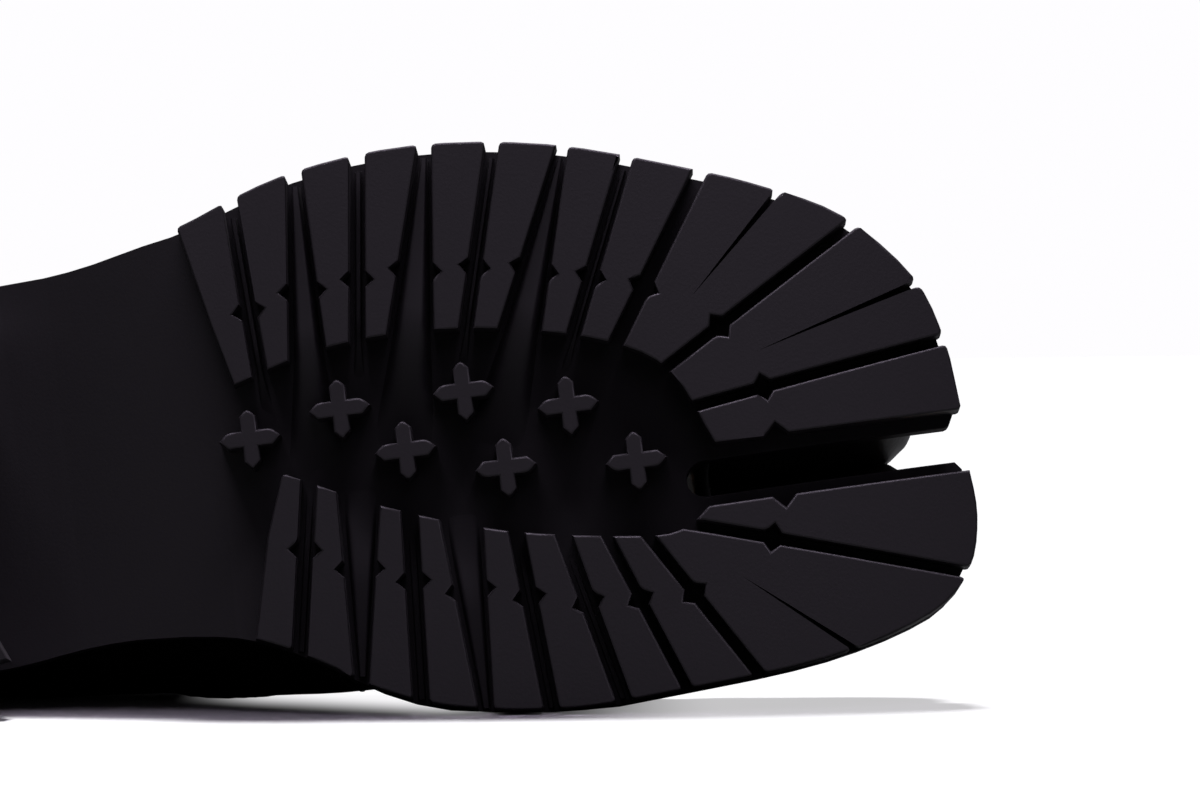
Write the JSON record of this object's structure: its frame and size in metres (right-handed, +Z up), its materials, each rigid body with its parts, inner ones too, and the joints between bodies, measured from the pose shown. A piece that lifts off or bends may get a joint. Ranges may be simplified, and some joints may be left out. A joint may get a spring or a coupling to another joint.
{
  "type": "split-toe lace-up shoe",
  "caption": "Right split-toe lace-up leather shoe with a lugged rubber forefoot, plain waist and block heel, lying on its inner side.",
  "frame": {"origin": "middle of the lying shoe's outline on the floor, at floor level", "axes": "+X along the shoe towards the toe, -Y out of the tread, +Z up from the floor towards the outer side"},
  "size_m": [0.2738, 0.1156, 0.1053],
  "materials": {
    "rubber": "moulded black rubber with a soft sheen",
    "black_leather": "smooth black leather with a fine grain",
    "tan_leather": "natural tan leather, its outer edge stained black",
    "lining_leather": "matt natural lining leather",
    "eyelet_metal": "black enamelled metal",
    "lace_cotton": "waxed round cotton lace"
  },
  "bodies": {
    "root": {"outsole": "rubber", "heel": "rubber", "midsole": "tan_leather", "insole": "lining_leather", "upper": "black_leather", "tongue": "black_leather", "eyelet_medial_1": "eyelet_metal", "eyelet_medial_2": "eyelet_metal", "eyelet_medial_3": "eyelet_metal", "eyelet_medial_4": "eyelet_metal", "eyelet_lateral_1": "eyelet_metal", "eyelet_lateral_2": "eyelet_metal", "eyelet_lateral_3": "eyelet_metal", "eyelet_lateral_4": "eyelet_metal", "lace_bar_1": "lace_cotton", "lace_bar_2": "lace_cotton", "lace_bar_3": "lace_cotton", "lace_bar_4": "lace_cotton"}
  },
  "joints": []
}
